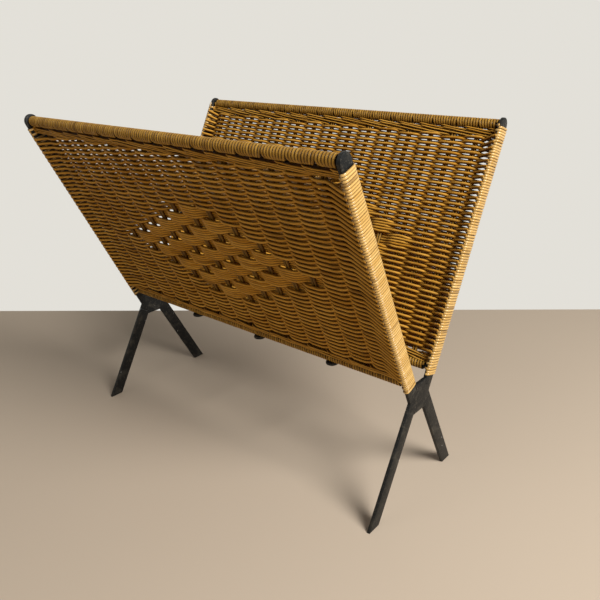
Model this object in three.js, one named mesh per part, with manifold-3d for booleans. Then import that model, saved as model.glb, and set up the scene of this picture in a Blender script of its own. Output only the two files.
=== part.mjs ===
// Magazine rack: two woven rattan panels in a V, carried by flat steel end frames on splayed legs.
// Millimetres. X runs along the rails, Y across the V, Z up, and the feet stand on z = 0.
// Each panel is built flat in its own frame: x along the rails, y through the weave with the
// outer face at -y, z up the panel, origin on the top rail's axis. The front panel then leans
// towards -Y, and the rear one is the same panel turned half round.
import * as THREE from 'three';
import { mergeVertices } from 'three/addons/utils/BufferGeometryUtils.js';
import Module from 'manifold-3d';

// Whole rack
const frameLength = 456; // between the outer faces of the two end frames
const railHeight = 399; // floor to the top rails' axes
const railSpread = 299; // between the two top rails' axes
const waistHeight = 125; // floor to the crossing of bar and leg axes
const waistSpread = 22; // between the bar axes at the waist
const footSpread = 163; // between the leg axes at the floor
const seatGap = 0.3; // between pieces that touch

// Flat steel bar of the end frames
const barWidth = 16;
const barThickness = 4;
const barWeldDistance = 11; // from the waist up to the end of a side bar
const legWeldDistance = 12; // from the waist down to the end of a leg
const knuckleTopClearance = 2.2; // up the V, from the plate's top corners to the side wraps
const knuckleDrop = 17; // waist down to the plate's lower edge in the crotch

// Rails and cross ties
const topRodRadius = 4;
const bottomRodRadius = 3.2;
const bottomRailRise = 29.5; // up the panel from the waist to the bottom rail's axis
const tieWidth = 14;
const tieThickness = 3;
const tieCount = 3;
const tieSpacing = 112;
const tieShift = 13.7; // of the middle tie from the middle of the rack
const tieOverhang = 0.5; // past the outer side of the wrapped bottom rails

// Rattan
const strandThickness = 1.8; // wound on the top rails
const fineStrandThickness = 2; // wound on the bottom rails
const sideStrandThickness = 2; // turned round the side bars
const wrapEndChamfer = 1.2;
const sideWrapTop = 6.6; // down the panel, under the bar's round end
const sideWrapRise = 19.4; // up the panel from the waist to the side wraps' lower end
const stakeRadius = 1.8;
const stakeCount = 15;
const bundleStrands = 5; // weft strands in one block of the diamond
const strandPitchWanted = 3.02; // between weft strands, before whole rows are fitted in
const diamondDrop = 11; // of the diamond's centre below the middle of the weave
const ridgeDepth = 5; // weave's half thickness over a stake
const ridgeShoulderDepth = 4.4;
const ridgeShoulderOffset = 5.2;
const valleyDepth = 1.8; // weave's half thickness between stakes
const slitHalfWidth = 4.7; // level bottom of a slit, either side of its stake
const slitDepth = 1.3; // of that bottom, behind the middle of the weave
const slitLip = 0.8; // of the bundles above and below a slit
const borderHeight = 8.8;
const borderHalfDepth = 5.6;
const forkThickness = 2.6; // weft between the last stake and the side bar
const forkRoot = 2.4; // solid weave left beside the last stake

// Shares of a width, for corners worked out from it
const diamondBundleShares = [1, 2, 3, 4, 5, 4, 3, 2, 1]; // bundles in each block row
const roundSides = 20;
const rodSides = 16;
const borderSides = 12;
const lobeAngleShares = [-0.75, -0.25, 0.25, 0.75]; // of a quarter turn
const overrun = 10;

// Worked out from the sizes above
const halfBar = barWidth / 2;
const barInnerFace = frameLength / 2 - barThickness;
const railPoint = new THREE.Vector2(railSpread / 2, railHeight);
const waistPoint = new THREE.Vector2(waistSpread / 2, waistHeight);
const footPoint = new THREE.Vector2(footSpread / 2, 0);
const barUp = railPoint.clone().sub(waistPoint).normalize();
const legDown = footPoint.clone().sub(waistPoint).normalize();
const barInward = new THREE.Vector2(-barUp.y, barUp.x);
const legInward = new THREE.Vector2(legDown.y, -legDown.x);
const panelLean = Math.atan2(barUp.x, barUp.y);
const panelLength = railPoint.distanceTo(waistPoint);
const barDrop = panelLength - barWeldDistance;
const bottomRailDistance = panelLength - bottomRailRise;
const sideWrapEnd = panelLength - sideWrapRise;
const stakePitch = (frameLength + barThickness) / (stakeCount + 1);
const lastStake = (stakeCount - 1) / 2;
const topWrapRadius = topRodRadius + seatGap + strandThickness;
const bottomWrapRadius = bottomRodRadius + seatGap + fineStrandThickness;
const weaveTop = topWrapRadius + borderHeight + 2 * seatGap;
const weaveEnd = bottomRailDistance - bottomWrapRadius - borderHeight - 2 * seatGap;
const rowCount = Math.round((weaveEnd - weaveTop) / strandPitchWanted);
const strandPitch = (weaveEnd - weaveTop) / rowCount;
const blockHeight = bundleStrands * strandPitch;
const diamondRows = bundleStrands * diamondBundleShares.length;
const rowsAboveDiamond = Math.round((rowCount - diamondRows) / 2 + diamondDrop / strandPitch);
const diamondTop = weaveTop + rowsAboveDiamond * strandPitch;
const ringHalfThickness = barThickness / 2 + seatGap + sideStrandThickness;
const ringHalfWidth = halfBar + seatGap + sideStrandThickness;
const ringCentre = frameLength / 2 - barThickness / 2;
const ringInnerSide = ringCentre - ringHalfThickness;
const weaveReach = ringInnerSide - seatGap;

const wasm = await Module();
wasm.setup();

const steel = { color: 0x1c1e1f, roughness: 0.5, metalness: 0.6 };
const rattan = { color: 0xb8863c, roughness: 0.55, metalness: 0 };
const darkRattan = { color: 0x9c7434, roughness: 0.6, metalness: 0 };

function piece(name, geometry, finish) {
  const mesh = new THREE.Mesh(geometry, new THREE.MeshStandardMaterial(finish));
  mesh.name = name;
  return mesh;
}

// Closed solids for cutting and joining
function toSolid(geometry) {
  const bare = geometry.clone();
  bare.deleteAttribute('normal');
  bare.deleteAttribute('uv');
  const merged = mergeVertices(bare);
  return new wasm.Manifold(new wasm.Mesh({
    numProp: 3,
    vertProperties: new Float32Array(merged.attributes.position.array),
    triVerts: new Uint32Array(merged.index.array),
  }));
}

function toGeometry(solid) {
  const mesh = solid.getMesh();
  const geometry = new THREE.BufferGeometry();
  geometry.setAttribute('position', new THREE.BufferAttribute(mesh.vertProperties, 3));
  geometry.setIndex(new THREE.BufferAttribute(mesh.triVerts, 1));
  return geometry;
}

function joinAll(geometries) {
  return geometries.map(toSolid).reduce((whole, solid) => whole.add(solid));
}

function cutAll(solid, geometries) {
  return geometries.map(toSolid).reduce((rest, cutter) => rest.subtract(cutter), solid);
}

// An outline drawn in Y and Z, made a plate along X between two faces
function plateAcross(shape, fromX, toX) {
  const geometry = new THREE.ExtrudeGeometry(shape, { depth: toX - fromX, bevelEnabled: false, curveSegments: 8 });
  const axes = new THREE.Matrix4().makeBasis(
    new THREE.Vector3(0, 1, 0), new THREE.Vector3(0, 0, 1), new THREE.Vector3(1, 0, 0));
  return geometry.applyMatrix4(axes).translate(fromX, 0, 0);
}

// An outline drawn in x and y, run down the panel between two distances from the rail's axis
function runDown(shape, fromDistance, toDistance) {
  const depth = toDistance - fromDistance;
  const geometry = new THREE.ExtrudeGeometry(shape, { depth, bevelEnabled: false, curveSegments: 4 });
  return geometry.translate(0, 0, -toDistance);
}

function along(start, direction, distance) {
  return start.clone().addScaledVector(direction, distance);
}

// Where a line through a point, along a direction, reaches a height
function atHeight(point, direction, height) {
  return along(point, direction, (height - point.y) / direction.y);
}

function lineCrossing(pointA, directionA, pointB, directionB) {
  const turn = directionA.cross(directionB);
  return along(pointA, directionA, pointB.clone().sub(pointA).cross(directionB) / turn);
}

function mirrored(points) {
  return points.map((point) => new THREE.Vector2(-point.x, point.y)).reverse();
}

// Steel end frame
function sideBarGeometry(fromX) {
  const shape = new THREE.Shape();
  shape.moveTo(halfBar, 0);
  shape.absarc(0, 0, halfBar, 0, Math.PI, false);
  shape.lineTo(-halfBar, -barDrop);
  shape.lineTo(halfBar, -barDrop);
  return plateAcross(shape, fromX, fromX + barThickness);
}

function legPoints() {
  const top = along(waistPoint, legDown, legWeldDistance);
  const inner = along(top, legInward, halfBar);
  const outer = along(top, legInward, -halfBar);
  return [inner, atHeight(inner, legDown, 0), atHeight(outer, legDown, 0), outer];
}

function legGeometry(side, fromX) {
  const points = side > 0 ? legPoints() : mirrored(legPoints());
  return plateAcross(new THREE.Shape(points), fromX, fromX + barThickness);
}

function knuckleSidePoints() {
  const barEnd = along(waistPoint, barUp, barWeldDistance - seatGap);
  const legEnd = along(waistPoint, legDown, legWeldDistance - seatGap);
  const barOuter = along(barEnd, barInward, -halfBar);
  const barInner = along(barEnd, barInward, halfBar + seatGap);
  const tongue = along(barInner, barUp, sideWrapRise - knuckleTopClearance - barWeldDistance + seatGap);
  const legOuter = along(legEnd, legInward, -halfBar);
  const legInner = along(legEnd, legInward, halfBar + seatGap);
  return [
    atHeight(legInner, legDown, waistHeight - knuckleDrop),
    legInner,
    legOuter,
    lineCrossing(barOuter, barUp, legOuter, legDown),
    barOuter,
    barInner,
    tongue,
  ];
}

function knuckleGeometry(fromX) {
  const right = knuckleSidePoints();
  const left = mirrored(right);
  return plateAcross(new THREE.Shape(right.concat(left)), fromX, fromX + barThickness);
}

// Rails and what is wound on them, along X
function rodGeometry(radius, distance) {
  const length = 2 * (barInnerFace - seatGap);
  const geometry = new THREE.CylinderGeometry(radius, radius, length, rodSides);
  return geometry.rotateZ(Math.PI / 2).translate(0, 0, -distance);
}

function wrapGeometry(rodRadius, outerRadius, reach, distance) {
  const bore = rodRadius + seatGap;
  const profile = [
    new THREE.Vector2(bore, -reach),
    new THREE.Vector2(outerRadius - wrapEndChamfer, -reach),
    new THREE.Vector2(outerRadius, wrapEndChamfer - reach),
    new THREE.Vector2(outerRadius, reach - wrapEndChamfer),
    new THREE.Vector2(outerRadius - wrapEndChamfer, reach),
    new THREE.Vector2(bore, reach),
    new THREE.Vector2(bore, -reach),
  ];
  const geometry = new THREE.LatheGeometry(profile, roundSides);
  return geometry.rotateZ(Math.PI / 2).translate(0, 0, -distance);
}

// Braided border: a flattened rope between the side bars
function borderGeometry(topDistance) {
  const halfHeight = borderHeight / 2;
  const points = [];
  for (let side = 0; side < borderSides; side += 1) {
    const angle = (side + 0.5) * 2 * Math.PI / borderSides;
    points.push(new THREE.Vector2(borderHalfDepth * Math.cos(angle), halfHeight * Math.sin(angle)));
  }
  const geometry = plateAcross(new THREE.Shape(points), -weaveReach, weaveReach);
  return geometry.translate(0, 0, -topDistance - halfHeight);
}

// Doubled stake: two reeds side by side, and the bore that the weft leaves for them
function lobePoints(side, radius) {
  return lobeAngleShares.map((share) => {
    const angle = share * Math.PI / 2;
    const offset = new THREE.Vector2(radius * Math.cos(angle), radius * Math.sin(angle));
    return offset.add(new THREE.Vector2(stakeRadius, 0)).multiplyScalar(side);
  });
}

function stakeGeometry(index) {
  const neck = stakeRadius / 2;
  const points = [
    ...lobePoints(1, stakeRadius),
    new THREE.Vector2(0, neck),
    ...lobePoints(-1, stakeRadius),
    new THREE.Vector2(0, -neck),
  ];
  const geometry = runDown(new THREE.Shape(points), weaveTop + seatGap, weaveEnd - seatGap);
  return geometry.translate(index * stakePitch, 0, 0);
}

function stakeBoreCutter(index) {
  const radius = (stakeRadius + seatGap) / Math.cos(Math.PI / 8);
  const shape = new THREE.Shape([...lobePoints(1, radius), ...lobePoints(-1, radius)]);
  const cutter = runDown(shape, weaveTop - overrun, weaveEnd + overrun);
  return cutter.translate(index * stakePitch, 0, 0);
}

// Woven panel
function ridgePoints(index) {
  const centre = index * stakePitch;
  return [
    new THREE.Vector2(centre - ridgeShoulderOffset, ridgeShoulderDepth),
    new THREE.Vector2(centre, ridgeDepth),
    new THREE.Vector2(centre + ridgeShoulderOffset, ridgeShoulderDepth),
  ];
}

function backEdgePoints() {
  const points = [];
  for (let index = -lastStake; index <= lastStake; index += 1) {
    points.push(...ridgePoints(index));
    if (index < lastStake) {
      points.push(new THREE.Vector2((index + 0.5) * stakePitch, valleyDepth));
    }
  }
  return points;
}

function ringCorners(halfThickness, halfWidth) {
  return [
    new THREE.Vector2(-halfThickness, halfWidth),
    new THREE.Vector2(halfThickness, halfWidth),
    new THREE.Vector2(halfThickness, -halfWidth),
    new THREE.Vector2(-halfThickness, -halfWidth),
  ];
}

function sideRing(side) {
  const round = sideStrandThickness;
  const corners = ringCorners(ringHalfThickness, ringHalfWidth);
  const points = [];
  corners.forEach((corner) => {
    const inX = new THREE.Vector2(-Math.sign(corner.x) * round, 0);
    const inY = new THREE.Vector2(0, -Math.sign(corner.y) * round);
    const pair = corner.x * corner.y < 0 ? [inY, inX] : [inX, inY];
    points.push(...pair.map((step) => corner.clone().add(step)));
  });
  const ring = runDown(new THREE.Shape(points), sideWrapTop, sideWrapEnd);
  return ring.translate(side * ringCentre, 0, 0);
}

function sideBarCutter(side) {
  const shape = new THREE.Shape(ringCorners(barThickness / 2 + seatGap, halfBar + seatGap));
  const cutter = runDown(shape, sideWrapTop - overrun, sideWrapEnd + overrun);
  return cutter.translate(side * ringCentre, 0, 0);
}

function forkCutter(side) {
  const apex = lastStake * stakePitch + 2 * stakeRadius + forkRoot;
  const base = ringHalfWidth - 2 * forkThickness;
  const shape = new THREE.Shape([
    new THREE.Vector2(side * apex, 0),
    new THREE.Vector2(side * ringInnerSide, base),
    new THREE.Vector2(side * ringInnerSide, -base),
  ]);
  return runDown(shape, weaveTop - overrun, weaveEnd + overrun);
}

function weaveShape() {
  const back = backEdgePoints();
  const front = back.map((point) => new THREE.Vector2(point.x, -point.y)).reverse();
  const ringEdge = ringInnerSide + sideStrandThickness / 2;
  const ringReach = ringHalfWidth - sideStrandThickness / 2;
  const outline = [
    new THREE.Vector2(-ringEdge, -ringReach),
    new THREE.Vector2(-ringEdge, ringReach),
    ...back,
    new THREE.Vector2(ringEdge, ringReach),
    new THREE.Vector2(ringEdge, -ringReach),
    ...front,
  ];
  return new THREE.Shape(outline);
}

// Slits of the diamond: where a bundle passes behind a stake, the stake shows, and the face
// slopes out to the valleys on either side
function slitShape(faceSide) {
  const halfWidth = stakePitch / 2 - seatGap;
  const points = [
    new THREE.Vector2(-halfWidth, overrun),
    new THREE.Vector2(-halfWidth, valleyDepth),
    new THREE.Vector2(-slitHalfWidth, -slitDepth),
    new THREE.Vector2(slitHalfWidth, -slitDepth),
    new THREE.Vector2(halfWidth, valleyDepth),
    new THREE.Vector2(halfWidth, overrun),
  ];
  return new THREE.Shape(points.map((point) => new THREE.Vector2(point.x, faceSide * point.y)));
}

function slitCutters() {
  const cutters = [];
  diamondBundleShares.forEach((bundles, row) => {
    const top = diamondTop + row * blockHeight;
    for (let index = -bundles; index <= bundles; index += 1) {
      const outer = (index + bundles) % 2 === 0;
      const shape = slitShape(outer ? -1 : 1);
      const cutter = runDown(shape, top + slitLip, top + blockHeight - slitLip);
      cutters.push(cutter.translate(index * stakePitch, 0, 0));
    }
  });
  return cutters;
}

function railPassage() {
  const radius = bottomRodRadius + seatGap;
  const geometry = new THREE.CylinderGeometry(radius, radius, 2 * barInnerFace - seatGap, rodSides);
  return geometry.rotateZ(Math.PI / 2).translate(0, 0, -bottomRailDistance);
}

function wovenPanelGeometry() {
  const weave = runDown(weaveShape(), weaveTop, weaveEnd);
  const sides = [-1, 1];
  const whole = joinAll([weave, ...sides.map(sideRing)]);
  const cutters = [...slitCutters(), ...sides.map(sideBarCutter), ...sides.map(forkCutter), railPassage()];
  for (let index = -lastStake; index <= lastStake; index += 1) {
    cutters.push(stakeBoreCutter(index));
  }
  return toGeometry(cutAll(whole, cutters));
}

// One panel, flat in its own frame. turned is -1 for the panel that is turned half round.
function panelGroup(name, turned) {
  const group = new THREE.Group();
  const sideName = (side) => (side * turned < 0 ? 'left' : 'right');
  group.add(piece(`${name}_side_bar_${sideName(-1)}`, sideBarGeometry(-frameLength / 2), steel));
  group.add(piece(`${name}_side_bar_${sideName(1)}`, sideBarGeometry(barInnerFace), steel));
  group.add(piece(`${name}_top_rail_rod`, rodGeometry(topRodRadius, 0), steel));
  group.add(piece(`${name}_bottom_rail_rod`, rodGeometry(bottomRodRadius, bottomRailDistance), steel));
  const topWrap = wrapGeometry(topRodRadius, topWrapRadius, barInnerFace - seatGap, 0);
  const bottomWrap = wrapGeometry(bottomRodRadius, bottomWrapRadius, weaveReach, bottomRailDistance);
  group.add(piece(`${name}_top_rail_wrap`, topWrap, darkRattan));
  group.add(piece(`${name}_bottom_rail_wrap`, bottomWrap, darkRattan));
  group.add(piece(`${name}_woven_panel`, wovenPanelGeometry(), rattan));
  group.add(piece(`${name}_top_border`, borderGeometry(weaveTop - seatGap - borderHeight), rattan));
  group.add(piece(`${name}_bottom_border`, borderGeometry(weaveEnd + seatGap), rattan));
  for (let index = -lastStake; index <= lastStake; index += 1) {
    const number = String(index * turned + lastStake + 1).padStart(2, '0');
    group.add(piece(`${name}_stake_${number}`, stakeGeometry(index), darkRattan));
  }
  group.position.set(0, -turned * railSpread / 2, railHeight);
  group.rotation.set(panelLean, 0, turned < 0 ? Math.PI : 0, 'ZYX');
  return group;
}

function endFrame(name, fromX) {
  const group = new THREE.Group();
  group.add(piece(`${name}_knuckle_plate`, knuckleGeometry(fromX), steel));
  group.add(piece(`front_leg_${name}`, legGeometry(-1, fromX), steel));
  group.add(piece(`rear_leg_${name}`, legGeometry(1, fromX), steel));
  return group;
}

// Flat ties under the two wrapped bottom rails, with round ends
function crossTies() {
  const group = new THREE.Group();
  const railAxis = along(railPoint, barUp, -bottomRailDistance);
  const halfTie = tieWidth / 2;
  const reach = railAxis.x + bottomWrapRadius + tieOverhang - halfTie;
  const top = railAxis.y - bottomWrapRadius - seatGap;
  for (let index = 0; index < tieCount; index += 1) {
    const shape = new THREE.Shape();
    shape.absarc(0, reach, halfTie, 0, Math.PI, false);
    shape.absarc(0, -reach, halfTie, Math.PI, 2 * Math.PI, false);
    const options = { depth: tieThickness, bevelEnabled: false, curveSegments: 8 };
    const geometry = new THREE.ExtrudeGeometry(shape, options);
    const place = tieShift + (index - (tieCount - 1) / 2) * tieSpacing;
    geometry.translate(place, 0, top - tieThickness);
    group.add(piece(`cross_tie_${index + 1}`, geometry, steel));
  }
  return group;
}

const rack = new THREE.Group();
rack.add(panelGroup('front', 1));
rack.add(panelGroup('rear', -1));
rack.add(endFrame('left', -frameLength / 2));
rack.add(endFrame('right', barInnerFace));
rack.add(crossTies());

export default rack;
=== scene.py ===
"""Magazine rack: rattan weave, windings and painted steel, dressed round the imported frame."""

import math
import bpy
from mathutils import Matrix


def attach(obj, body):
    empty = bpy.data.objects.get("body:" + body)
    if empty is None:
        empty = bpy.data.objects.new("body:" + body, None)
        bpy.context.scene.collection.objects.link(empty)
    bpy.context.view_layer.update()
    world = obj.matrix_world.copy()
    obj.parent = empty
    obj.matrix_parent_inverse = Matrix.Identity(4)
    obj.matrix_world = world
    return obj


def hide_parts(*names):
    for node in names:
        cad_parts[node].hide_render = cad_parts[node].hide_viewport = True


bl_info = {
    "name": "Magazine rack",
    "version": (1, 0, 0),
    "blender": (4, 5, 0),
    "location": "3D View > Sidebar > Rack",
    "description": "Builds the woven panels, windings and painted steel of a magazine rack",
    "category": "Add Mesh",
}

import bmesh
import bpy
from mathutils import Matrix, Vector
from mathutils.bvhtree import BVHTree

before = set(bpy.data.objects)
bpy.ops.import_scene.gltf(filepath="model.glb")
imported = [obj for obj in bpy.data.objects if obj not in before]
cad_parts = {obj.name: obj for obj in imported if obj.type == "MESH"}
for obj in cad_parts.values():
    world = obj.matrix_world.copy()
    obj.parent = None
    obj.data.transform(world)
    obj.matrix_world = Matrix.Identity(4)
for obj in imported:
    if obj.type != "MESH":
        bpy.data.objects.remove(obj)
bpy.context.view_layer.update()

MM = 0.001
BODY = "root"
# Each panel's name, its turn (1 as it is, -1 half round) and its seed
PANELS = (("front", 1, 1), ("rear", -1, 2))
ENDS = {"left": -1, "right": 1}
STEEL_WORDS = ("side_bar", "leg", "knuckle", "tie")
STEEL_NODES = [name for name in sorted(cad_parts) if any(word in name for word in STEEL_WORDS)]

# Allowances, which no user would change
SOLID_GAP = 0.3 * MM      # between a rod, its winding and the border beside it
WELD_REACH = 0.8 * MM     # a steel neighbour nearer than this is welded on
BAR_GAP = 0.15 * MM       # between a side bar and the cane round it
ROD_GAP = 0.1 * MM        # between a rod and the cane round it
CANE_SLACK = 0.1 * MM     # what uneven cane may add to its thickness
EDGE_GAP = 0.5 * MM       # between a side bar's edge and the weft that meets it
BORDER_LIFT = 1.6 * MM    # between the top border's foot and the weave's top
BORDER_END = 2.0 * MM     # from a border's end to the side bar
WINDING_END = 1.0 * MM    # from a rail's last turn to the side bar
BOTTOM_END = 3.0 * MM     # how much shorter a bottom rail's winding is at each end
TURN_PITCH = 0.985        # part of the cane's width from one rail turn to the next
BORDER_START = 0.35       # part of a stake pitch, from a stake to a stroke's start
SHARP_ANGLE = math.radians(40)   # a sharper edge of the steel is rounded
SMOOTH_ANGLE = math.radians(38)  # a flatter edge of the rounded steel is shaded smooth


# Node trees written as Python

def forward(operation):
    """An operator of two terms, which adds one Math node."""
    return lambda self, other: self.graph.math(operation, self, other)


def reflected(operation):
    """The same with its terms swapped, so that 1 - mask works."""
    return lambda self, other: self.graph.math(operation, other, self)


def single(operation):
    return lambda self: self.graph.math(operation, self)


class Value:
    """An output of a node tree. Python's operators on it add Math nodes."""
    __add__, __radd__ = forward("ADD"), reflected("ADD")
    __sub__, __rsub__ = forward("SUBTRACT"), reflected("SUBTRACT")
    __mul__, __rmul__ = forward("MULTIPLY"), reflected("MULTIPLY")
    __truediv__, __rtruediv__ = forward("DIVIDE"), reflected("DIVIDE")
    __pow__ = forward("POWER")
    __mod__ = forward("FLOORED_MODULO")
    __lt__ = forward("LESS_THAN")
    __gt__ = forward("GREATER_THAN")
    __abs__ = single("ABSOLUTE")
    floor = single("FLOOR")
    rounded = single("ROUND")
    sign = single("SIGN")
    cos = single("COSINE")

    def __init__(self, graph, socket):
        self.graph = graph
        self.socket = socket

    def __neg__(self):
        return 0.0 - self

    def clamped(self):
        """Held between 0 and 1."""
        return self.graph.math("MULTIPLY", self, 1.0, clamp=True)


class Graph:
    """Adds nodes to a tree, for geometry and for materials alike."""

    def __init__(self, tree):
        self.tree = tree

    def node(self, kind, settings=None, inputs=None):
        node = self.tree.nodes.new(kind)
        for name, value in (settings or {}).items():
            setattr(node, name, value)
        for name, value in (inputs or {}).items():
            self.plug(value, node.inputs[name])
        return node

    def plug(self, value, socket):
        if isinstance(value, Value):
            self.tree.links.new(value.socket, socket)
        else:
            socket.default_value = value

    def out(self, node, name=0):
        return Value(self, node.outputs[name])

    def math(self, operation, *terms, clamp=False):
        settings = {"operation": operation, "use_clamp": clamp}
        return self.out(self.node("ShaderNodeMath", settings, dict(enumerate(terms))))

    def most(self, first, second):
        return self.math("MAXIMUM", first, second)

    def bounded(self, value, low, high):
        return self.math("MINIMUM", self.most(value, low), high)

    def pick(self, choice, if_one, if_zero):
        """One of two numbers, by a mask of 0 or 1."""
        return choice * if_one + (1 - choice) * if_zero

    def vector(self, x, y, z):
        return self.out(self.node("ShaderNodeCombineXYZ", None, {0: x, 1: y, 2: z}))

    def apart(self, vector):
        node = self.node("ShaderNodeSeparateXYZ", None, {0: vector})
        return [self.out(node, axis) for axis in range(3)]

    def noise(self, vector, scale, detail):
        return self.out(self.node("ShaderNodeTexNoise", None,
                                  {"Vector": vector, "Scale": scale, "Detail": detail}))

    def stray(self, x, y, z):
        """A smooth random number round 0, at a point of the noise."""
        return self.noise(self.vector(x, y, z), 1.0, 1.0) - 0.5

    def mix(self, factor, first, second):
        """Mixes colours, which have the Mix node's inputs 6 and 7 and its output 2."""
        node = self.node("ShaderNodeMix", {"data_type": "RGBA"}, {0: factor, 6: first, 7: second})
        return self.out(node, 2)


class ShapeTree(Graph):
    """A Geometry Nodes tree with named inputs, which ends in Realize Instances and Set Material."""

    def __init__(self, name, defaults):
        super().__init__(bpy.data.node_groups.new(name, "GeometryNodeTree"))
        self.socket("Geometry", "OUTPUT", "NodeSocketGeometry")
        for label, value in defaults.items():
            kind = "NodeSocketInt" if isinstance(value, int) else "NodeSocketFloat"
            self.socket(label, "INPUT", kind).default_value = value
        self.socket("Material", "INPUT", "NodeSocketMaterial")
        self.entry = self.tree.nodes.new("NodeGroupInput")

    def socket(self, name, way, kind):
        return self.tree.interface.new_socket(name=name, in_out=way, socket_type=kind)

    def given(self, name):
        return self.out(self.entry, name)

    def position(self):
        return self.out(self.node("GeometryNodeInputPosition"))

    def index(self):
        return self.out(self.node("GeometryNodeInputIndex"))

    def paths(self, count, points, length):
        """Straight paths along X, each lying at its own number times one metre on Y."""
        line = self.node("GeometryNodeCurvePrimitiveLine", None,
                         {"End": self.vector(length, 0.0, 0.0)})
        fine = self.node("GeometryNodeResampleCurve", None,
                         {"Curve": self.out(line), "Count": points})
        dots = self.node("GeometryNodePoints", None,
                         {"Count": count, "Position": self.vector(0.0, self.index(), 0.0)})
        copies = self.node("GeometryNodeInstanceOnPoints", None,
                           {"Points": self.out(dots), "Instance": self.out(fine)})
        return self.out(self.node("GeometryNodeRealizeInstances", None, {0: self.out(copies)}))

    def moved(self, geometry, position):
        return self.out(self.node("GeometryNodeSetPosition", None,
                                  {"Geometry": geometry, "Position": position}))

    def marked(self, geometry, name, value, kind="FLOAT"):
        return self.out(self.node("GeometryNodeStoreNamedAttribute", {"data_type": kind},
                                  {"Geometry": geometry, "Name": name, "Value": value}))

    def named(self, name):
        return self.out(self.node("GeometryNodeInputNamedAttribute", None, {"Name": name}))

    def swept(self, path, radius, sides, flank, uneven):
        """A round strand along a path, its girth uneven by a share. It stores its girth, and how
        near a point is to its side on flank's axis, where the next strand lies."""
        place = dict(zip("xyz", self.apart(self.position())))
        path = self.marked(path, "middle", place[flank])
        swellings = self.vector(*(place[axis] * 90.0 for axis in "xyz"))
        thick = self.node("GeometryNodeSetCurveRadius", None, {
            "Curve": path, "Radius": 1.0 + (self.noise(swellings, 1.0, 0.0) - 0.5) * uneven})
        ring = self.node("GeometryNodeCurvePrimitiveCircle", None,
                         {"Resolution": sides, "Radius": 1.0})
        girth = self.marked(self.out(ring), "around", self.position(), "FLOAT_VECTOR")
        across, up, _ = self.apart(self.position())
        profile = self.moved(girth, self.vector(across * radius, up * radius, 0.0))
        tube = self.node("GeometryNodeCurveToMesh", None,
                         {"Curve": self.out(thick), "Profile Curve": profile, "Fill Caps": True})
        return self.marked(self.out(tube), "flank", (place[flank] - self.named("middle")) / radius)

    def strands(self, path, radius, uneven):
        """Finishes strands that run along X and lie one above the other."""
        along, _, _ = self.apart(self.position())
        path = self.marked(path, "along", along)
        return self.finish(self.swept(path, radius, 8, "z", uneven))

    def finish(self, geometry):
        smooth = self.node("GeometryNodeSetShadeSmooth", None, {0: geometry})
        real = self.node("GeometryNodeRealizeInstances", None, {0: self.out(smooth)})
        painted = self.node("GeometryNodeSetMaterial", None,
                            {"Geometry": self.out(real), "Material": self.given("Material")})
        exit_node = self.tree.nodes.new("NodeGroupOutput")
        self.tree.links.new(painted.outputs[0], exit_node.inputs["Geometry"])
        return self.tree


def grow(tree, sizes, material, name, place):
    """Runs a tree once and returns its result, put in its place, as a plain mesh object."""
    holder = placed(name + "_holder", bpy.data.meshes.new(name + "_holder"))
    modifier = holder.modifiers.new("Shape", "NODES")
    modifier.node_group = tree
    values = {**sizes, "Material": material}
    for item in tree.interface.items_tree:
        if item.in_out == "INPUT" and item.name in values:
            modifier[item.identifier] = values[item.name]
    holder.update_tag()
    bpy.context.view_layer.update()
    depsgraph = bpy.context.evaluated_depsgraph_get()
    mesh = bpy.data.meshes.new_from_object(holder.evaluated_get(depsgraph), depsgraph=depsgraph)
    holder.modifiers.remove(modifier)
    bpy.data.objects.remove(holder)
    mesh.name = name
    mesh.transform(place)
    return placed(name, mesh)


def placed(name, data):
    """An object of a mesh, a camera or a lamp, in the scene."""
    item = bpy.data.objects.new(name, data)
    bpy.context.scene.collection.objects.link(item)
    return item


def dress(piece, replaced):
    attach(piece, BODY)
    if replaced:
        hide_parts(*replaced)


# Sizes

def length(label, description, value_mm):
    return bpy.props.FloatProperty(name=label, description=description, default=value_mm * MM,
                                   unit="LENGTH", subtype="DISTANCE", precision=5)


def count(label, description, value):
    return bpy.props.IntProperty(name=label, description=description, default=value)


def share(label, description, value):
    return bpy.props.FloatProperty(name=label, description=description, default=value)


def colour(label, description, value):
    return bpy.props.FloatVectorProperty(name=label, description=description, default=value,
                                         subtype="COLOR", size=3, min=0.0, max=1.0)


class RackFrameSizes(bpy.types.PropertyGroup):
    """Where the panels lie, and the steel that they are woven on."""
    frame_length: length("Frame length", "Between the outer faces of the end frames", 456.0)
    rail_height: length("Rail height", "Floor to the top rails' axes", 399.0)
    rail_spread: length("Rail spread", "Between the top rails' axes", 299.0)
    waist_height: length("Waist height", "Floor to the crossing of the bar and leg axes", 125.0)
    waist_spread: length("Waist spread", "Between the bar axes at the waist", 22.0)
    bar_width: length("Bar width", "Wide side of the flat bar", 16.0)
    bar_thickness: length("Bar thickness", "Thin side of the flat bar", 4.0)
    top_rod_radius: length("Top rod radius", "Steel core of a top rail", 4.0)
    bottom_rod_radius: length("Bottom rod radius", "Steel core of a bottom rail", 3.2)
    bottom_rail_rise: length("Bottom rail rise", "Up the panel from the waist", 29.5)
    edge_radius: length("Edge radius", "Rounding of the steel's edges", 0.7)


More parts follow.
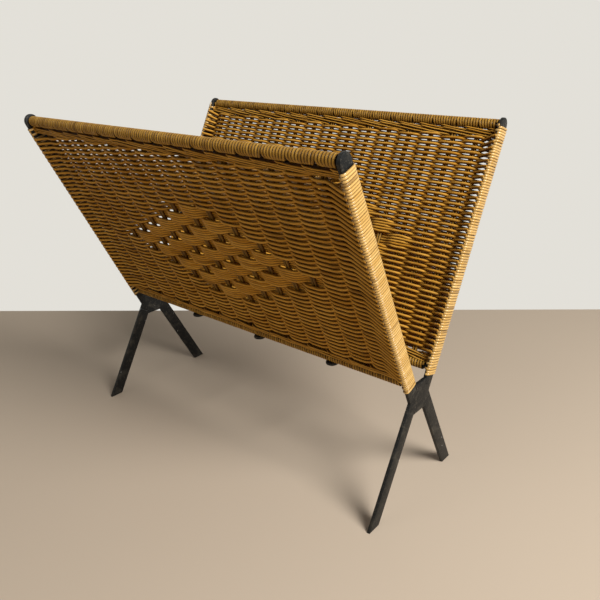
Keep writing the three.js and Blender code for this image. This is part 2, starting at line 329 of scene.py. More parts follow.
class RackWeaveSizes(bpy.types.PropertyGroup):
    """Weft, stakes and borders of one panel."""
    stake_count: count("Stakes", "Doubled stakes in a panel", 15)
    stake_radius: length("Stake radius", "Each reed of a doubled stake", 1.6)
    strand_radius: length("Weft radius", "Half the thickness of a weft strand", 1.89)
    press: length("Press", "How deep the weft presses into the stakes", 0.65)
    weave_top: length("Weave top", "Down the panel to the first weft strand", 15.5)
    row_count: count("Rows", "Weft strands in a panel", 82)
    rows_above: count("Rows above", "Weft strands above the diamond", 22)
    bundle: count("Bundle", "Weft strands in one block of the diamond", 5)
    widest: count("Widest row", "Bundles in the diamond's middle row", 5)
    wander: length("Wander", "How far a strand strays from its row", 0.52)
    hold: share("Hold", "Above 1 a strand lies level over each stake before it crosses", 1.2)
    fan: share("Fan", "Share by which a bundle spreads over a stake", 0.14)
    fork_lead: length("Fork lead", "Past the last stake to where a strand turns to the bar", 4.5)
    outer_fall: length("Outer fall", "Drop of the outer strands to the bar at the +X end", 4.0)
    inner_climb: length("Inner climb", "Climb of the top inner strands to the bars", 5.5)
    front_fall: length("Front fall", "Drop of the front panel's low inner strands", 3.5)
    rear_fall: length("Rear fall", "Drop of the rear panel's low inner strands", 0.0)
    front_climb_end: length("Front climb end", "Down the front panel to where it lessens", 50.0)
    rear_climb_end: length("Rear climb end", "Down the rear panel to where it lessens", 15.0)
    climb_fade: length("Climb fade", "Down the panel from there to the full fall", 30.0)
    front_bar_side: share("Front bar side", "1 keeps a front strand on its side of the weave up to "
                          "the side bar, -1 takes it across first", 1.0)
    rear_bar_side: share("Rear bar side", "The same for the rear panel", -1.0)
    border_height: length("Border height", "Height of a rolled border", 8.8)
    border_radius: length("Border strand radius", "Half the thickness of a border strand", 1.22)
    lining_drop: length("Lining drop", "Down the panel to the lining reeds", 8.3)


class RackWindingSizes(bpy.types.PropertyGroup):
    """Cane wound on the rails and round the side bars."""
    turn_width: length("Turn width", "Wide side of the cane in a winding", 3.0)
    rail_turn_width: length("Rail turn width", "Wide side of the cane on the rails", 3.4)
    front_gap: length("Front gap", "How far the front top rail's turns part at each stake", 6.2)
    rear_gap: length("Rear gap", "How far the rear top rail's turns part at each stake", 1.4)
    bottom_gap: length("Bottom gap", "How far a bottom rail's turns part at each stake", 0.5)
    rail_thickness: length("Rail cane thickness", "Thin side of the cane on the rails", 2.0)
    side_thickness: length("Side cane thickness", "Thin side of the weft round the side bars", 2.1)
    slant: length("Slant", "How far a side turn drops from its middle to its inner edge", 1.2)
    wander: length("Turn wander", "How far a turn strays from its place", 0.6)
    front_top: length("Front winding top", "Down the front panel to the first turn", 4.2)
    rear_top: length("Rear winding top", "Down the rear panel to the first turn", -0.8)
    side_rise: length("Side winding rise", "Up the panel from the waist to the last turn", 19.4)


class RackFinishes(bpy.types.PropertyGroup):
    """Colours of the rack and of the stage."""
    rattan_light: colour("Rattan light", "Palest strands", (0.82, 0.43, 0.07))
    rattan_mid: colour("Rattan", "Most strands", (0.58, 0.26, 0.024))
    # The darkest tone is also the painted shade in the cane's seams and under its strands, and the
    # colour of the lining reeds that stand in for shade
    rattan_dark: colour("Rattan dark", "Darkest strands and stains", (0.085, 0.028, 0.003))
    # Side turns: paler and creamier than the weft's cane, painted light for the lamp-lit turns
    turn_light: colour("Side turns light", "Palest turns round the side bars", (0.70, 0.45, 0.15))
    turn_mid: colour("Side turns", "Most turns round the side bars", (0.53, 0.30, 0.065))
    rail_light: colour("Rail cane light", "Palest cane on the rails", (0.60, 0.33, 0.055))
    rail_mid: colour("Rail cane", "Most cane on the rails", (0.34, 0.168, 0.022))
    steel: colour("Paint", "Satin black paint", (0.004, 0.0045, 0.0045))
    steel_worn: colour("Worn paint", "Paint rubbed thin", (0.075, 0.065, 0.048))
    steel_bare: colour("Chips", "Grey steel where the paint is chipped", (0.42, 0.41, 0.38))
    floor: colour("Floor", "Plain pale floor", (0.52, 0.42, 0.315))
    wall: colour("Backdrop", "Plain pale backdrop", (0.767, 0.745, 0.69))


def frame_sizes():
    return bpy.context.scene.rack_frame


def weave_sizes():
    return bpy.context.scene.rack_weave


def winding_sizes():
    return bpy.context.scene.rack_winding


def finishes():
    return bpy.context.scene.rack_finishes


# Places worked out from the sizes

def panel_run_and_rise():
    """How far a panel goes out and up, from the waist to its top rail."""
    sizes = frame_sizes()
    return (sizes.rail_spread - sizes.waist_spread) / 2, sizes.rail_height - sizes.waist_height


def panel_length():
    return math.hypot(*panel_run_and_rise())


def panel_place(turned):
    """From a panel's own frame, with its origin on the top rail, to the rack's."""
    sizes = frame_sizes()
    lift = Matrix.Translation((0.0, -sizes.rail_spread / 2, sizes.rail_height))
    place = lift @ Matrix.Rotation(math.atan2(*panel_run_and_rise()), 4, "X")
    return place if turned > 0 else Matrix.Rotation(math.pi, 4, "Z") @ place


def stake_pitch():
    sizes = frame_sizes()
    return (sizes.frame_length + sizes.bar_thickness) / (weave_sizes().stake_count + 1)


def bottom_rail_distance():
    return panel_length() - frame_sizes().bottom_rail_rise


def weave_end():
    winding = frame_sizes().bottom_rod_radius + SOLID_GAP + winding_sizes().rail_thickness
    return bottom_rail_distance() - winding - weave_sizes().border_height - 2 * SOLID_GAP


def row_pitch():
    return (weave_end() - weave_sizes().weave_top) / weave_sizes().row_count


def rail_reach():
    sizes = frame_sizes()
    return sizes.frame_length / 2 - sizes.bar_thickness


# Materials

class Finish(Graph):
    """A procedural material around one Principled shader."""

    def __init__(self, name):
        self.material = bpy.data.materials.new(name)
        self.material.use_nodes = True
        super().__init__(self.material.node_tree)
        self.tree.nodes.clear()
        self.shader = self.node("ShaderNodeBsdfPrincipled")
        output = self.node("ShaderNodeOutputMaterial")
        self.tree.links.new(self.shader.outputs[0], output.inputs[0])

    def feed(self, **values):
        for name, value in values.items():
            self.plug(value, self.shader.inputs[name.replace("_", " ")])

    def bump(self, height, strength, distance):
        node = self.node("ShaderNodeBump", None,
                         {"Height": height, "Strength": strength, "Distance": distance})
        self.tree.links.new(node.outputs[0], self.shader.inputs["Normal"])

    def place(self):
        return self.out(self.node("ShaderNodeTexCoord"), "Object")

    def attribute(self, name, output="Fac"):
        return self.out(self.node("ShaderNodeAttribute", {"attribute_name": name}), output)

    def ramp(self, value, low, high):
        """0 below low and 1 above high, straight between."""
        return ((value - low) / (high - low)).clamped()


def opaque(value, part=1.0):
    """A colour, or a part of its brightness, with full alpha."""
    return tuple(channel * part for channel in value) + (1.0,)


def stored(kept, name, make):
    """A material or tree that is made once, by its name, and then shared."""
    return kept.get(name) or make()


def rattan_finish(name, light, mid, dark, below=0.0, coat=0.1, seam_start=0.3, seam_depth=0.92):
    """Varnished cane: each strand its own tone, fibres along it, nodes across it, painted shade.

    below paints shade on the underside of each strand, where light from above leaves it darker. The
    painted shade in the seams between strands starts at the given share of the way from a strand's
    middle to its side. Factors such as 7.31 keep neighbouring strands far apart in the noise."""
    finish = Finish(name)
    strand = finish.attribute("strand")
    along = finish.attribute("along")
    flank = finish.attribute("flank")
    girth_x, girth_y, _ = finish.apart(finish.attribute("around", "Vector"))
    tone = finish.noise(finish.vector(strand * 7.31, along * 9.0, 0.0), 1.0, 1.0)
    lengthwise = finish.vector(girth_x * 5.0, girth_y * 5.0, along * 28.0 + strand * 3.7)
    fibre = finish.noise(lengthwise, 1.6, 3.0)
    stain = finish.noise(finish.place(), 46.0, 4.0)
    knot = finish.noise(finish.vector(strand * 3.17, along * 13.0, 0.0), 1.0, 0.0)
    body = finish.mix(finish.ramp(tone, 0.30, 0.70), mid, light)
    streaked = finish.mix(finish.ramp(fibre, 0.42, 0.85) * 0.5, body, dark)
    marks = finish.most(finish.ramp(stain, 0.58, 0.80) * 0.5, finish.ramp(knot, 0.70, 0.78) * 0.5)
    stained = finish.mix(marks, streaked, dark)
    # Painted shade: the seams between neighbouring strands and the underside of each strand darken
    # towards the dark colour, as shade would fall there
    seam = finish.most(finish.ramp(abs(flank), seam_start, 1.0) ** 1.5 * seam_depth,
                       finish.ramp(-flank, -0.35, 0.65) * below)
    finish.feed(Base_Color=finish.mix(seam, stained, dark), Roughness=0.34 + fibre * 0.22,
                Specular_IOR_Level=0.09, Specular_Tint=(1.0, 0.8, 0.5, 1.0),
                Coat_Weight=coat, Coat_Roughness=0.18)
    finish.bump(fibre, 0.25, 0.4 * MM)
    return finish.material


def cane(name, colours, parts=(1.0, 1.0, 1.0), **look):
    """A finish of cane, from parts of the rack's light, mid and dark colours of those names."""
    tones = [opaque(getattr(finishes(), tone), part) for tone, part in zip(colours, parts)]
    return stored(bpy.data.materials, name, lambda: rattan_finish(name, *tones, **look))


def weft_finish():
    # Painted shade under each strand and in the seams between strands
    return cane("Rattan weft", ("rattan_light", "rattan_mid", "rattan_dark"),
                below=0.93, coat=0.04, seam_start=0.5, seam_depth=0.9)


def border_finish():
    """Border strands: paler and deeper tones than the weft, with strong painted shade under each
    strand and in its seams, so their tops look brighter.
    """
    return cane("Border strand", ("rattan_light", "rattan_mid", "rattan_dark"), (1.15, 1.0, 0.5),
                below=1.0, coat=0.06, seam_start=0.15, seam_depth=1.0)


def turn_finish():
    """Turns round the side bars, glossy, in a paler and creamier cane than the weft: painted light
    for the lamp-lit turns.
    """
    return cane("Side turns", ("turn_light", "turn_mid", "rattan_dark"),
                coat=0.8, seam_start=0.42, seam_depth=0.78)


def rail_finish():
    # Painted shade: each rail turn darkens from its middle to both sides, and its dark tone is
    # deepened
    return cane("Rail cane", ("rail_light", "rail_mid", "rattan_dark"), (1.0, 1.0, 0.45),
                coat=0.14, seam_start=0.0, seam_depth=1.0)


def shaded_stake_finish():
    """The front stakes' reeds: the rail cane made darker, painted shade for the shade of the weft
    over them.
    """
    return cane("Stake reed", ("rail_light", "rail_mid", "rattan_dark"), (0.42, 0.32, 1.0))


def shade_finish():
    """Reeds all in the rattan's darkest tone: painted shade for the shaded gap under the rails."""
    return cane("Unvarnished reed", ("rattan_dark",) * 3, (0.8, 0.5, 1.0))


def steel_finish():
    """Satin black paint with brush ripples, grey dust and small chips."""
    sizes = finishes()
    finish = Finish("Satin black paint")
    place = finish.place()
    cloud = finish.noise(place, 90.0, 5.0)
    grit = finish.noise(place, 520.0, 3.0)
    chips = finish.noise(place, 230.0, 1.0)
    worn = finish.ramp(cloud, 0.50, 0.74) * 0.45 + finish.ramp(grit, 0.56, 0.72) * 0.5
    dusty = finish.mix(worn.clamped(), opaque(sizes.steel), opaque(sizes.steel_worn))
    chipped = finish.mix(finish.ramp(chips, 0.79, 0.82), dusty, opaque(sizes.steel_bare))
    finish.feed(Base_Color=chipped, Roughness=0.34 + cloud * 0.30, Specular_IOR_Level=0.22)
    finish.bump(cloud * 0.5 + grit * 0.5, 0.8, 0.8 * MM)
    return finish.material


def plain_finish(name, value, roughness):
    finish = Finish(name)
    grain = finish.noise(finish.place(), 3.0, 2.0)
    finish.feed(Base_Color=finish.mix(grain, opaque(value), opaque(value, 0.97)),
                Roughness=roughness)
    return finish.material


# Shape trees

def weft_tree():
    """Rows of weft in front of and behind the stakes, with the diamond's bundles."""
    tree = ShapeTree("Woven rows", {
        "Rows": 82, "Points": 128, "Row Pitch": 0.003, "Top": 0.0155, "Stake Pitch": 0.02875,
        "Last Stake": 7.0, "Reach": 0.226, "Ridge": 0.00284, "Edge": 0.0085,
        "Strand Radius": 0.00189, "Rows Above": 22.0, "Bundle": 5.0, "Widest": 5.0, "Hold": 1.2,
        "Fan": 0.14, "Fork Lead": 0.0045, "Outer Fall": 0.004, "Inner Climb": 0.0055,
        "Inner Fall": 0.0035, "Climb End": 0.05, "Fall Start": 0.08, "Bar Side": 1.0,
        "Wander": 0.00052, "Seed": 1.0,
    })
    reach = tree.given("Reach")
    rows = tree.paths(tree.given("Rows"), tree.given("Points"), reach * 2)
    along, row, _ = tree.apart(tree.position())
    x = along - reach
    pitch = tree.given("Stake Pitch")
    bundle = tree.given("Bundle")
    widest = tree.given("Widest")
    block = ((row - tree.given("Rows Above")) / bundle).floor()
    bundles = widest - abs(block - (widest - 1))
    in_blocks = (block > -0.5) * (block < widest * 2 - 1.5)

    def in_diamond(stake):
        return in_blocks * (abs(stake) < bundles + 0.5)

    def side(stake):
        """1 where the strand passes outside this stake, -1 where it passes inside."""
        phase = tree.pick(in_diamond(stake), stake - bundles + 1, stake + row)
        return (phase * math.pi).cos()

    # The swing from one stake to the next
    left_stake = (x / pitch).floor()
    part = x / pitch - left_stake
    here = side(left_stake)
    after = side(left_stake + 1)
    bend = (part * math.pi).cos()
    held = tree.bounded(bend * tree.given("Hold"), -1.0, 1.0)
    swing = (here + after) / 2 + (here - after) / 2 * held * (1.5 - held * held * 0.5)

    # Past the last stake a strand turns towards one edge of the side bar, and gets there early
    early = 1.12
    last = tree.given("Last Stake")
    past = abs(x) - last * pitch
    lead = tree.given("Fork Lead")
    fork_share = ((past - lead) / (reach - last * pitch - lead)).clamped()
    end_side = side(x.sign() * last)
    ridge = tree.given("Ridge")
    bar_side = end_side * tree.given("Bar Side")
    forked = (fork_share * early).clamped()
    fork = end_side * ridge * (1 - forked) + bar_side * tree.given("Edge") * forked
    depth = tree.pick(past > 0.0, fork, swing * ridge)

    # A bundle fans out over its stake, and a strand falls or climbs on its way to the bar
    fanned = in_diamond((x / pitch).rounded()) * bend * bend * tree.given("Fan")
    block_middle = tree.given("Rows Above") + (block + 0.5) * bundle - 0.5
    line = row + (row - block_middle) * fanned
    climb_end = tree.given("Climb End")
    level = tree.given("Top") + row * tree.given("Row Pitch")
    settled = ((level - climb_end) / (tree.given("Fall Start") - climb_end)).clamped()
    climb = tree.given("Inner Climb")
    inner = settled * (climb + tree.given("Inner Fall")) - climb
    drop = tree.pick(bar_side > 0.0, (x > 0.0) * tree.given("Outer Fall"), inner)

    seed = tree.given("Seed")
    wander = tree.given("Wander")
    stray = tree.stray(x * 38.0, row * 5.3, seed)
    stray_in = tree.stray(x * 30.0, row * 4.1, seed + 31.0)
    straight_down = tree.given("Top") + (line + 0.5) * tree.given("Row Pitch")
    down = straight_down + stray * wander * 2 + drop * fork_share
    numbered = tree.marked(rows, "strand", row + seed * 100.0)
    moved = tree.moved(numbered, tree.vector(x, -depth - stray_in * wander, -down))
    return tree.strands(moved, tree.given("Strand Radius"), uneven=0.22)


def winding_tree():
    """Cane wound along a bar or rod, turn by turn, and pressed flat on it."""
    tree = ShapeTree("Winding", {
        "Turns": 100, "Steps": 24, "Length": 0.4, "Core Width": 0.008, "Core Depth": 0.002,
        "Core Corner": 0.0005, "Turn Width": 0.003, "Thickness": 0.002, "Slant": 0.0, "Crown": 0.0,
        "Gap Pitch": 0.02875, "Gap": 0.0, "Bare Side": 0.0, "Wander": 0.0004, "Seed": 1.0,
    })
    half = tree.given("Turn Width") / 2
    core_width = tree.given("Core Width")
    core_depth = tree.given("Core Depth")
    corner = tree.given("Core Corner")
    box = tree.node("GeometryNodeCurvePrimitiveQuadrilateral", None,
                    {"Width": (core_width + half) * 2, "Height": (core_depth + half) * 2})
    section = tree.node("GeometryNodeFilletCurve", {"mode": "POLY"},
                        {"Curve": tree.out(box), "Radius": (corner + half) * 0.999, "Count": 8})
    turns = tree.given("Turns")
    steps = tree.given("Steps")
    path = tree.paths(1, turns * steps + 1, 1.0)
    turn = tree.index() / steps
    sample = tree.node("GeometryNodeSampleCurve", {"mode": "FACTOR", "use_all_curves": False},
                       {"Curves": tree.out(section), "Factor": turn - turn.floor()})
    across, deep, _ = tree.apart(tree.out(sample, "Position"))
    wide = across / (core_width + half)
    high = deep / (core_depth + half)

    # The turns part at each stake, on a rail's lower side, and stand proud by up to a share
    most_proud = 0.05
    advance = tree.given("Length") * (turn / turns - 0.5)
    stakes = advance / tree.given("Gap Pitch")
    phase = stakes - stakes.rounded()
    under = (0.35 - high * 0.65).clamped() ** 2.0
    parted = phase.sign() * (1 - abs(phase) * 2) * tree.given("Gap") * under
    seed = tree.given("Seed")
    lean = tree.stray(turn * 0.31, seed, 9.0)
    proud = 1 + tree.noise(tree.vector(turn * 0.9, seed, 17.0), 1.0, 1.0) * most_proud
    wander = tree.given("Wander")
    strayed = advance + parted + tree.stray(turn * 1.7, seed, 0.0) * wander
    laid = strayed + wide * tree.given("Slant") + high * lean * wander * 4
    wound = tree.moved(path, tree.vector(laid, across * proud, deep * proud))

    # On the side towards the weft every other turn is drawn in, where a strand takes its place
    drawn_in = 0.92
    bare = tree.given("Bare Side")
    odd = (turn + 0.57 - bare * 0.25).floor() % 2.0
    wound = tree.marked(wound, "tucked", odd * (high * bare * 3.0).clamped())
    wound = tree.marked(wound, "strand", turn.floor() + seed * 100.0)
    wound = tree.marked(wound, "along", turn * 0.05)
    round_cane = tree.swept(wound, half, sides=8, flank="x", uneven=0.16)

    # The round cane is pressed to its thickness, outwards from the core
    x, y, z = tree.apart(tree.position())
    inner_y = tree.bounded(y, corner - core_width, core_width - corner)
    inner_z = tree.bounded(z, corner - core_depth, core_depth - corner)
    from_y = y - inner_y
    from_z = z - inner_z
    out = tree.most((from_y * from_y + from_z * from_z) ** 0.5, 1e-6)
    crown = 1 - (y / (core_width + half)) ** 2.0 * tree.given("Crown")
    pressed = (corner + (out - corner) * tree.given("Thickness") / (half * 2) * crown) / out
    flat_z = (inner_z + from_z * pressed) * (1 - tree.named("tucked") * drawn_in)
    return tree.finish(tree.moved(round_cane, tree.vector(x, inner_y + from_y * pressed, flat_z)))


def stake_tree():
    """Doubled stakes: straight reeds side by side."""
    tree = ShapeTree("Stakes", {
        "Stakes": 15, "Pitch": 0.02875, "Top": 0.004, "Bottom": 0.27, "Radius": 0.0016,
        "Wander": 0.0004, "Seed": 1.0,
    })
    top = tree.given("Top")
    reeds = tree.paths(tree.given("Stakes") * 2, 40, tree.given("Bottom") - top)
    along, number, _ = tree.apart(tree.position())
    stake = (number / 2).floor()
    twin = number - stake * 2
    middle = (tree.given("Stakes") - 1) / 2
    radius = tree.given("Radius")
    seed = tree.given("Seed")
    stray = tree.stray(along * 16.0, number * 3.7, seed) * tree.given("Wander") * 2
    x = (stake - middle) * tree.given("Pitch") + (twin * 2 - 1) * radius * 1.02 + stray
    standing = tree.moved(reeds, tree.vector(x, 0.0, -top - along))
    place_x, _, place_z = tree.apart(tree.position())
    marked = tree.marked(standing, "strand", (place_x * 400.0).rounded() + seed * 10.0)
    marked = tree.marked(marked, "along", place_z)
    return tree.finish(tree.swept(marked, radius, sides=10, flank="x", uneven=0.1))


def border_tree():
    """Rolled border: strands that leave each stake, pass over the next ones and tuck in."""
    tree = ShapeTree("Rolled border", {
        "Strokes": 34, "Strands": 2.0, "Pitch": 0.02875, "Top": 0.0051, "Height": 0.0088,
        "Side": 1.0, "Reach": 0.222, "First": -8.65, "Span": 2.4, "Step": 0.0026, "Depth": 0.0041,
        "Strand Radius": 0.00122, "Seed": 1.0,
    })
    strokes = tree.paths(tree.given("Strokes"), 30, 1.0)
    done, number, _ = tree.apart(tree.position())
    # Parts of a stake pitch, of a stroke's length and of its depth, and strays in metres
    twin_lag, rising, tucking, settling = 0.06, 0.07, 0.09, 0.62
    stray_out, stray_down = 0.0012, 0.0026
    strands = tree.given("Strands")
    stake = (number / strands).floor()
    twin = number - stake * strands
    reach = tree.given("Reach")
    side = tree.given("Side")
    stakes_on = tree.given("First") + stake + twin * twin_lag + done * tree.given("Span")
    x = -side * tree.bounded(stakes_on * tree.given("Pitch"), -reach, reach)
    radius = tree.given("Strand Radius")
    fall = tree.given("Height") - radius
    down = tree.given("Top") + radius + done * fall + twin * tree.given("Step")
    rise = (done / rising).clamped() ** 0.5
    tuck = ((1 - done) / tucking).clamped() ** 0.5
    depth = tree.given("Depth") * rise * tuck * (1 - done * settling)
    seed = tree.given("Seed")
    stray = tree.stray(number * 3.1, done * 2.6, seed)
    laid = tree.vector(x, side * (depth + stray * stray_out), -down - stray * stray_down)
    numbered = tree.marked(strokes, "strand", number + seed * 10.0)
    return tree.strands(tree.moved(numbered, laid), radius, uneven=0.2)


def lining_tree():
    """A pair of straight reeds laid under a rail, inside and outside the stakes."""
    tree = ShapeTree("Lining reeds", {
        "Down": 0.0083, "Apart": 0.0014, "Reach": 0.222, "Strand Radius": 0.0013, "Seed": 1.0,
    })
    reach = tree.given("Reach")
    seed = tree.given("Seed")
    reeds = tree.paths(2, 120, reach * 2)
    along, number, _ = tree.apart(tree.position())
    stray_down = tree.stray(along * 30.0, number * 5.0, seed) * 0.0012
    laid = tree.vector(along - reach, (number * 2 - 1) * tree.given("Apart"),
                       -tree.given("Down") - stray_down)
    marked = tree.marked(tree.moved(reeds, laid), "strand", number + seed * 10.0)
    return tree.strands(marked, tree.given("Strand Radius"), uneven=0.15)


# Operators

class PieceOperator(bpy.types.Operator):
    """Shared settings of the operators that build a part of the rack."""
    bl_options = {"REGISTER", "UNDO"}


class RACK_OT_steel(PieceOperator):
    """Give the steel pieces rounded edges and worn black paint"""
    bl_idname = "rack.steel"
    bl_label = "Painted steel"

    def execute(self, context):
        paint = stored(bpy.data.materials, "Satin black paint", steel_finish)
        surfaces = {node: self.surface(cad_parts[node].data) for node in STEEL_NODES}
        for node in STEEL_NODES:
            neighbours = [tree for other, tree in surfaces.items() if other != node]
            mesh = self.rounded(node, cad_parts[node].data, neighbours)
            mesh.materials.append(paint)
            dress(placed("painted_" + node, mesh), [node])
        for panel, _, _ in PANELS:
            for rail in ("top", "bottom"):
                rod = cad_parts[f"{panel}_{rail}_rail_rod"]
                rod.data.materials.clear()
                rod.data.materials.append(paint)
        return {"FINISHED"}

    def surface(self, mesh):
        corners = [vertex.co.copy() for vertex in mesh.vertices]
        return BVHTree.FromPolygons(corners, [tuple(face.vertices) for face in mesh.polygons])

    def rounded(self, name, source, neighbours):
        """A merged copy with its free edges rounded. Edges welded to a neighbour stay sharp."""
        solid = bmesh.new()
        solid.from_mesh(source)
        bmesh.ops.remove_doubles(solid, verts=solid.verts, dist=0.01 * MM)
        bmesh.ops.dissolve_limit(solid, angle_limit=math.radians(1), verts=solid.verts,
                                 edges=solid.edges)
        sharp = [edge for edge in solid.edges
                 if edge.calc_face_angle(0.0) > SHARP_ANGLE
                 and not self.welded(edge, neighbours)]
        bmesh.ops.bevel(solid, geom=sharp, offset=frame_sizes().edge_radius, segments=2,
                        profile=0.5, affect="EDGES", clamp_overlap=True)
        for face in solid.faces:
            face.smooth = True
        for edge in solid.edges:
            edge.smooth = edge.calc_face_angle(0.0) < SMOOTH_ANGLE
        mesh = bpy.data.meshes.new("painted_" + name)
        solid.to_mesh(mesh)
        solid.free()
        return mesh

    def welded(self, edge, neighbours):
        middle = (edge.verts[0].co + edge.verts[1].co) / 2
        return any(tree.find_nearest(middle, WELD_REACH)[0] is not None for tree in neighbours)


class RACK_OT_stakes(PieceOperator):
    """Stand the doubled stakes in the panels"""
    bl_idname = "rack.stakes"
    bl_label = "Stakes"

    def execute(self, context):
        tree = stake_tree()
        sizes = weave_sizes()
        # Painted shade: the front stakes, in the weft's shade, get a darker copy of the rail cane
        reeds = {"front": shaded_stake_finish(), "rear": rail_finish()}
        for panel, turned, seed in PANELS:
            values = {
                "Stakes": sizes.stake_count, "Pitch": stake_pitch(),
                "Top": frame_sizes().top_rod_radius,
                "Bottom": bottom_rail_distance() - frame_sizes().bottom_rod_radius,
                "Radius": sizes.stake_radius, "Seed": float(seed),
            }
            piece = grow(tree, values, reeds[panel], f"{panel}_stakes", panel_place(turned))
            nodes = [f"{panel}_stake_{number:02d}" for number in range(1, sizes.stake_count + 1)]
            dress(piece, nodes)
        return {"FINISHED"}


class RACK_OT_weft(PieceOperator):
    """Weave the two panels, diamond and all"""
    bl_idname = "rack.weft"
    bl_label = "Woven panels"

    def execute(self, context):
        tree = weft_tree()
        sizes = weave_sizes()
        steel = frame_sizes()
        for panel, turned, seed in PANELS:
            climb_end = getattr(sizes, panel + "_climb_end")
            values = {
                "Rows": sizes.row_count, "Points": 128, "Row Pitch": row_pitch(),
                "Top": sizes.weave_top, "Stake Pitch": stake_pitch(),
                "Last Stake": (sizes.stake_count - 1) / 2,
                "Reach": steel.frame_length / 2 - steel.bar_thickness / 2,
                "Ridge": sizes.stake_radius + sizes.strand_radius - sizes.press,
                "Edge": steel.bar_width / 2 + EDGE_GAP, "Strand Radius": sizes.strand_radius,
                "Rows Above": float(sizes.rows_above), "Bundle": float(sizes.bundle),
                "Widest": float(sizes.widest), "Wander": sizes.wander, "Hold": sizes.hold,
                "Fan": sizes.fan, "Fork Lead": sizes.fork_lead, "Outer Fall": sizes.outer_fall,
                "Inner Climb": sizes.inner_climb, "Inner Fall": getattr(sizes, panel + "_fall"),
                "Climb End": climb_end, "Fall Start": climb_end + sizes.climb_fade,
                "Bar Side": getattr(sizes, panel + "_bar_side"), "Seed": float(seed),
            }
            piece = grow(tree, values, weft_finish(), f"{panel}_weft", panel_place(turned))
            dress(piece, [f"{panel}_woven_panel"])
        return {"FINISHED"}


class RACK_OT_side_windings(PieceOperator):
    """Turn the weft round the four side bars"""
    bl_idname = "rack.side_windings"
    bl_label = "Side windings"

    def execute(self, context):
        tree = stored(bpy.data.node_groups, "Winding", winding_tree)
        steel = frame_sizes()
        sizes = winding_sizes()
        margin = sizes.turn_width / 2 + sizes.slant
        bottom = panel_length() - sizes.side_rise - margin
        upright = Matrix.Rotation(math.radians(90), 4, "Y")
        for panel, turned, seed in PANELS:
            top = getattr(sizes, panel + "_top") + margin
            for end, side in ENDS.items():
                values = {
                    "Turns": round((bottom - top) / row_pitch()), "Steps": 28,
                    "Length": bottom - top, "Core Width": steel.bar_width / 2 + BAR_GAP,
                    "Core Depth": steel.bar_thickness / 2 + BAR_GAP,
                    "Core Corner": steel.bar_thickness / 2, "Crown": 0.25,
                    "Turn Width": sizes.turn_width,
                    "Thickness": sizes.side_thickness - CANE_SLACK, "Slant": sizes.slant,
                    "Bare Side": float(-side * turned), "Wander": sizes.wander,
                    "Seed": float(seed * 3 + side),
                }
                local = side * turned * (steel.frame_length - steel.bar_thickness) / 2
                middle = Matrix.Translation((local, 0.0, -(top + bottom) / 2))
                piece = grow(tree, values, turn_finish(), f"{panel}_side_winding_{end}",
                             panel_place(turned) @ middle @ upright)
                dress(piece, [])
        return {"FINISHED"}


class RACK_OT_rail_windings(PieceOperator):
    """Wind cane along the top and bottom rails"""
    bl_idname = "rack.rail_windings"
    bl_label = "Rail windings"

    def execute(self, context):
        tree = stored(bpy.data.node_groups, "Winding", winding_tree)
        steel = frame_sizes()
        sizes = winding_sizes()
        for panel, turned, seed in PANELS:
            top_gap = getattr(sizes, panel + "_gap")
            rails = {
                "top": (steel.top_rod_radius, 0.0, rail_reach(), top_gap),
                "bottom": (steel.bottom_rod_radius, bottom_rail_distance(),
                           rail_reach() - BOTTOM_END, sizes.bottom_gap),
            }
            for rail, (core, distance, reach, gap) in rails.items():
                span = 2 * (reach - sizes.rail_turn_width / 2 - WINDING_END)
                around = core + ROD_GAP
                values = {
                    "Turns": round(span / (sizes.rail_turn_width * TURN_PITCH)), "Steps": 24,
                    "Length": span, "Core Width": around, "Core Depth": around,
                    "Core Corner": around, "Turn Width": sizes.rail_turn_width,
                    "Thickness": sizes.rail_thickness - CANE_SLACK, "Gap Pitch": stake_pitch(),
                    "Gap": gap, "Wander": sizes.wander, "Seed": float(seed * 5 + len(rail)),
                }
                place = panel_place(turned) @ Matrix.Translation((0.0, 0.0, -distance))
                piece = grow(tree, values, rail_finish(), f"{panel}_{rail}_winding", place)
                dress(piece, [f"{panel}_{rail}_rail_wrap"])
        return {"FINISHED"}


class RACK_OT_borders(PieceOperator):
    """Roll the borders above and below the weft, and lay the lining reeds"""
    bl_idname = "rack.borders"
    bl_label = "Rolled borders"

    def execute(self, context):
        tree = border_tree()
        lining = lining_tree()
        sizes = weave_sizes()
        reach = rail_reach() - BORDER_END
        tops = {"top": sizes.weave_top - sizes.border_height - BORDER_LIFT,
                "bottom": weave_end() + SOLID_GAP}
        for panel, turned, seed in PANELS:
            for rail, top in tops.items():
                for face, side in (("outer", -1.0), ("inner", 1.0)):
                    values = {
                        "Strokes": 2 * (sizes.stake_count + 2), "Pitch": stake_pitch(),
                        "Top": top, "Height": sizes.border_height, "Side": side,
                        "First": BORDER_START - (sizes.stake_count + 3) / 2,
                        "Strand Radius": sizes.border_radius, "Reach": reach,
                        "Seed": seed * 7 + side + top * 100,
                    }
                    piece = grow(tree, values, border_finish(), f"{panel}_{rail}_border_{face}",
                                 panel_place(turned))
                    dress(piece, [f"{panel}_{rail}_border"])
            # The lining reeds, dark all over, are painted shade that fills the shaded gap under
            # each rail
            values = {"Down": sizes.lining_drop, "Reach": reach, "Seed": float(seed)}
            piece = grow(lining, values, shade_finish(), f"{panel}_lining_reeds",
                         panel_place(turned))
            dress(piece, [])
        return {"FINISHED"}


# Stage

CAMERA_LENS = 38.49
CAMERA_PLACE = (0.51238, -0.55351, 0.48275)
CAMERA_ANGLES = (68.210, 0.171, 39.201)
# Each lamp's place, target, size and power
LAMPS = {"Window": ((1.75, -0.2, 1.4), (0.0, 0.0, 0.25), 1.1, 69.0),
         "Fill": ((-0.5, -1.5, 2.0), (0.0, 0.0, 0.2), 1.4, 5.6)}
WORLD_COLOUR = (1.0, 0.98, 0.95, 1.0)
WORLD_LIGHT = 0.08


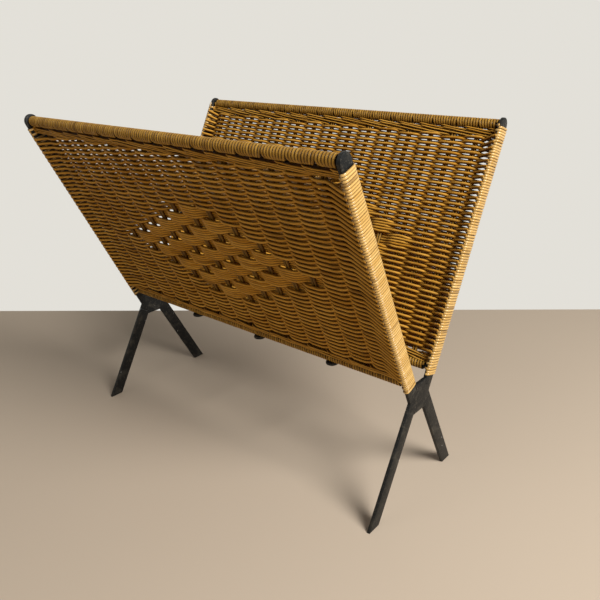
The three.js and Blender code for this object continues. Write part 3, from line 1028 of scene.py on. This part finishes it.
class RACK_OT_stage(PieceOperator):
    """Lay the floor, hang the lights and set the camera"""
    bl_idname = "rack.stage"
    bl_label = "Stage"

    def execute(self, context):
        self.floor()
        self.camera(context.scene)
        for name, lamp in LAMPS.items():
            self.lamp(name, *lamp)
        self.world(context.scene)
        context.scene.view_settings.view_transform = "Standard"
        return {"FINISHED"}

    def floor(self):
        back = Vector((-0.217, 0.341, 0.0))
        sideways = Vector((0.775, 0.632, 0.0)) * 6.0
        forwards = Vector((0.632, -0.775, 0.0)) * 9.0
        left, right = back - sideways, back + sideways
        corners = (left, left + forwards, right + forwards, right)
        mesh = bpy.data.meshes.new("floor")
        mesh.from_pydata(corners, [], [(0, 1, 2, 3)])
        mesh.materials.append(plain_finish("Pale floor", finishes().floor, 0.7))
        placed("floor", mesh)

    def camera(self, scene):
        data = bpy.data.cameras.new("Camera")
        data.lens = CAMERA_LENS
        camera = placed("Camera", data)
        camera.location = CAMERA_PLACE
        camera.rotation_euler = tuple(math.radians(angle) for angle in CAMERA_ANGLES)
        scene.camera = camera

    def lamp(self, name, place, target, size, power):
        data = bpy.data.lights.new(name, "AREA")
        data.size = size
        data.energy = power
        lamp = placed(name, data)
        lamp.location = place
        lamp.rotation_euler = (Vector(target) - Vector(place)).to_track_quat("-Z", "Y").to_euler()

    def world(self, scene):
        """A weak light for the rack, and a plain backdrop for the camera and reflections."""
        world = bpy.data.worlds.new("Studio")
        world.use_nodes = True
        graph = Graph(world.node_tree)
        world.node_tree.nodes.clear()
        rays = graph.node("ShaderNodeLightPath")
        camera, glossy, through = (graph.out(rays, f"Is {kind} Ray")
                                   for kind in ("Camera", "Glossy", "Transmission"))
        seen = graph.most(camera, graph.most(glossy, through))
        backdrop = graph.node("ShaderNodeBackground", None,
                              {"Color": opaque(finishes().wall), "Strength": 1.0})
        light = graph.node("ShaderNodeBackground", None,
                           {"Color": WORLD_COLOUR, "Strength": WORLD_LIGHT})
        blend = graph.node("ShaderNodeMixShader", None,
                           {0: seen, 1: graph.out(light), 2: graph.out(backdrop)})
        output = graph.node("ShaderNodeOutputWorld")
        world.node_tree.links.new(blend.outputs[0], output.inputs[0])
        scene.world = world


class RACK_PT_panel(bpy.types.Panel):
    """Buttons for each part of the rack"""
    bl_label = "Magazine rack"
    bl_idname = "RACK_PT_panel"
    bl_space_type = "VIEW_3D"
    bl_region_type = "UI"
    bl_category = "Rack"

    def draw(self, context):
        for operator in BUILD_ORDER:
            self.layout.operator(operator.bl_idname)


BUILD_ORDER = (RACK_OT_steel, RACK_OT_stakes, RACK_OT_weft, RACK_OT_side_windings,
               RACK_OT_rail_windings, RACK_OT_borders, RACK_OT_stage)
SETTINGS = {"rack_frame": RackFrameSizes, "rack_weave": RackWeaveSizes,
            "rack_winding": RackWindingSizes, "rack_finishes": RackFinishes}


def register():
    for name, group in SETTINGS.items():
        bpy.utils.register_class(group)
        setattr(bpy.types.Scene, name, bpy.props.PointerProperty(type=group))
    for item in BUILD_ORDER + (RACK_PT_panel,):
        bpy.utils.register_class(item)


def unregister():
    for item in reversed(BUILD_ORDER + (RACK_PT_panel,)):
        bpy.utils.unregister_class(item)
    for name, group in reversed(SETTINGS.items()):
        delattr(bpy.types.Scene, name)
        bpy.utils.unregister_class(group)


def main():
    register()
    bpy.ops.rack.steel()
    bpy.ops.rack.stakes()
    bpy.ops.rack.weft()
    bpy.ops.rack.side_windings()
    bpy.ops.rack.rail_windings()
    bpy.ops.rack.borders()
    bpy.ops.rack.stage()


if __name__ == "__main__":
    main()
